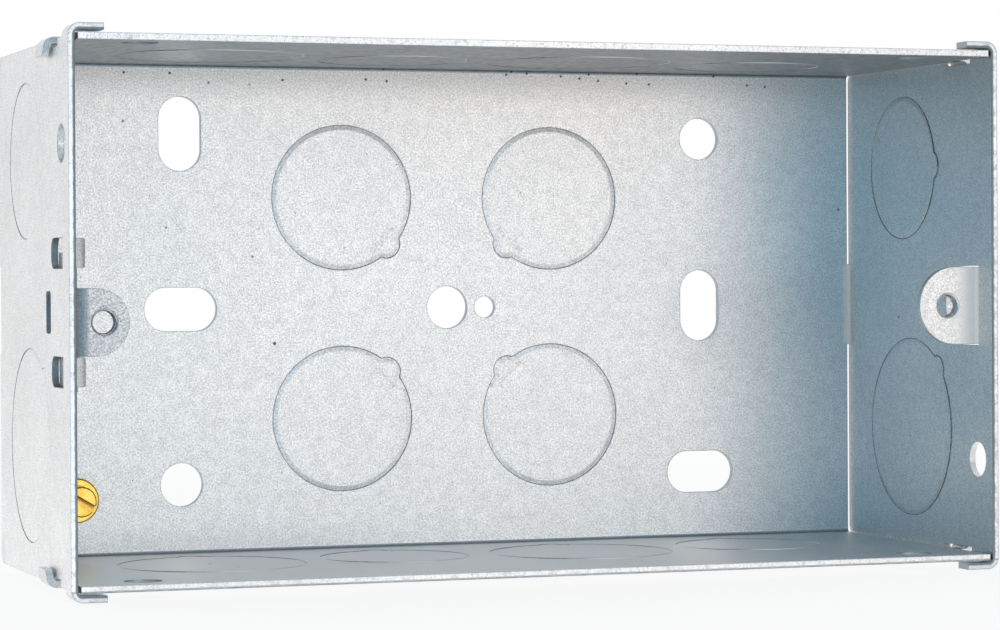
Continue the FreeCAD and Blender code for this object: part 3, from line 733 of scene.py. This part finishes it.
def lug_threads(material):
    """Thread ridges of the two tapped lug holes, at the places that the record gives them."""
    mounts = {mount["name"]: mount for mount in frame["record"]["mounts"]}
    length = LUG_THREAD_STOP - LUG_THREAD_START
    for name, body in (("fixed_lug_thread", "box"), ("adjustable_lug_thread", "slider")):
        centre = Vector(mounts[name]["pos_m"])
        centre.y = LUG_FRONT_Y + LUG_THREAD_START
        seed = bpy.data.meshes.new(name)
        seed.from_pydata([centre], [], [])
        sizes = {
            "Radius": mounts[name]["dims"]["r_mm"] * MM,
            "Crest": LUG_THREAD_CREST,
            "Turns": length / LUG_THREAD_PITCH,
            "Length": length,
            "Material": material,
        }
        grow(name + "_ridge", seed, thread_tree(sizes), sizes, body)


# Studio


def rays(start, *labels):
    """1 for rays of any of these kinds."""
    path = start.node("ShaderNodeLightPath", output=labels[0])
    for label in labels[1:]:
        path = larger(path, Wire(path.tree, path.socket.node.outputs[label]))
    return path


def pale_floor():
    """White floor that keeps a faint shadow.

    In mirrors it is lit behind the box; in front it is blue at the left, dim at the right and grey to the far
    left, with a lit pool.
    """
    material, start, output = new_material("pale_floor")
    place = start.node("ShaderNodeTexCoord", output="Object")
    distance = start.node("ShaderNodeVectorMath", {"operation": "LENGTH"}, {0: place}, "Value")
    to_pool = start.node(
        "ShaderNodeVectorMath", {"operation": "DISTANCE"}, {0: place, 1: POOL_PLACE}, "Value")
    mirrored = rays(start, "Is Glossy Ray")
    seen = rays(start, "Is Camera Ray", "Is Transmission Ray")
    fade = (1 - SHADOW_SHARE) + rise(distance, *SHADOW_END) * SHADOW_SHARE
    share = larger(seen * fade, mirrored)
    behind = mix(rise(distance, *BEHIND_LIT), WHITE, LIT_BEHIND)
    across, depth, _ = axes(place)
    front = mix(rise(across, *LOW_TURN), LOW_LEFT, LOW_RIGHT)
    front = mix(rise(across / depth, *LOW_FAR_LEFT), front, FAR_LEFT)
    front = mix(rise(to_pool, *POOL_REACH), front, LIT_POOL)
    room = mix(rise(depth, *FLOOR_FRONT), behind, front)
    paint = start.node("ShaderNodeBsdfDiffuse", None, {"Color": FLOOR_PAINT})
    glow = start.node("ShaderNodeEmission", None, {"Color": mix(mirrored, WHITE, room), "Strength": 1.0})
    both = start.node("ShaderNodeMixShader", None, {"Fac": share, 1: paint, 2: glow})
    start.tree.links.new(both.socket, output.inputs["Surface"])
    material.cycles.emission_sampling = "NONE"
    return material


def floor():
    """The floor under the box's lowest edge."""
    low = cad_box[0].z
    mesh = bpy.data.meshes.new("floor")
    corners = [
        (-FLOOR_HALF, -FLOOR_HALF, low), (FLOOR_HALF, -FLOOR_HALF, low),
        (FLOOR_HALF, FLOOR_HALF, low), (-FLOOR_HALF, FLOOR_HALF, low)]
    mesh.from_pydata(corners, [], [(0, 1, 2, 3)])
    mesh.materials.append(pale_floor())
    piece = bpy.data.objects.new("floor", mesh)
    bpy.context.scene.collection.objects.link(piece)


def studio_world():
    """White to the camera and behind the box.

    Mirrors see a room on the camera's side: blue at the left, grey to the far left and above, and pale at the
    right.
    """
    world = bpy.data.worlds.new("studio")
    world.use_nodes = True
    tree = world.node_tree
    tree.nodes.clear()
    start = Wire(tree)
    way = start.node("ShaderNodeTexCoord", output="Generated")
    across, depth, height = axes(way)
    shade = mix(rise(across, *ROOM_TURN), ROOM_LEFT, ROOM_RIGHT)
    shade = mix(rise(across, *ROOM_FAR_LEFT), shade, FAR_LEFT)
    shade = mix(rise(height, *ROOM_RISE), shade, ROOM_ABOVE)
    around = mix(rise(depth, *ROOM_FRONT), WHITE, shade)
    around = mix(rays(start, "Is Camera Ray", "Is Transmission Ray"), around, WHITE)
    background = start.node("ShaderNodeBackground", None, {"Color": around, "Strength": 1.0})
    output = tree.nodes.new("ShaderNodeOutputWorld")
    tree.links.new(background.socket, output.inputs["Surface"])
    world.cycles.sampling_method = "NONE"
    bpy.context.scene.world = world


def soft_lamp(name, place, width, height, watts):
    """A rectangular soft light that points at the origin."""
    lamp = bpy.data.lights.new(name, "AREA")
    lamp.shape = "RECTANGLE"
    lamp.size = width
    lamp.size_y = height
    lamp.energy = watts
    lamp.color = LAMP_COLOUR
    piece = bpy.data.objects.new(name, lamp)
    piece.location = place
    piece.rotation_euler = (-Vector(place)).to_track_quat("-Z", "Y").to_euler()
    bpy.context.scene.collection.objects.link(piece)


def studio_camera():
    """The camera at the photograph's place and angle."""
    turn = (
        Matrix.Rotation(math.radians(CAMERA_ROLL), 3, "Y")
        @ Matrix.Rotation(math.radians(CAMERA_PITCH), 3, "X")
        @ Matrix.Rotation(math.radians(CAMERA_YAW), 3, "Z"))
    right, forward, up = turn
    camera = bpy.data.cameras.new("camera")
    camera.lens = CAMERA_LENS
    camera.sensor_width = SENSOR_WIDTH
    camera.clip_start = CLIP_START
    piece = bpy.data.objects.new("camera", camera)
    bpy.context.scene.collection.objects.link(piece)
    facing = Matrix((right, up, -forward)).transposed().to_4x4()
    piece.matrix_world = Matrix.Translation(CAMERA_PLACE) @ facing
    bpy.context.scene.camera = piece


def dress_nodes():
    """Gives the carried-over pieces their finishes."""
    finishes = {
        "box_body": galvanised_steel("sheet_zinc", SHEET_DULL, SHEET_BRIGHT, 0.0),
        "adjustable_lug": galvanised_steel("lug_zinc", LUG_DULL, LUG_BRIGHT, LUG_CREASE),
        "earth_screw": turned_brass(),
    }
    for name, material in finishes.items():
        node = frame["nodes"][name]
        for slot in node.material_slots:
            slot.material = material


dress_nodes()
knockout_seams(sheared_seam())
lug_threads(cut_thread())
floor()
studio_world()
soft_lamp("overhead_softbox", (0.0, -0.25, 0.75), width=0.7, height=0.7, watts=1.2)
soft_lamp("front_softbox", (0.27, -0.95, 0.03), width=0.6, height=0.2, watts=1.15)
studio_camera()
bpy.context.scene.view_settings.view_transform = "Standard"
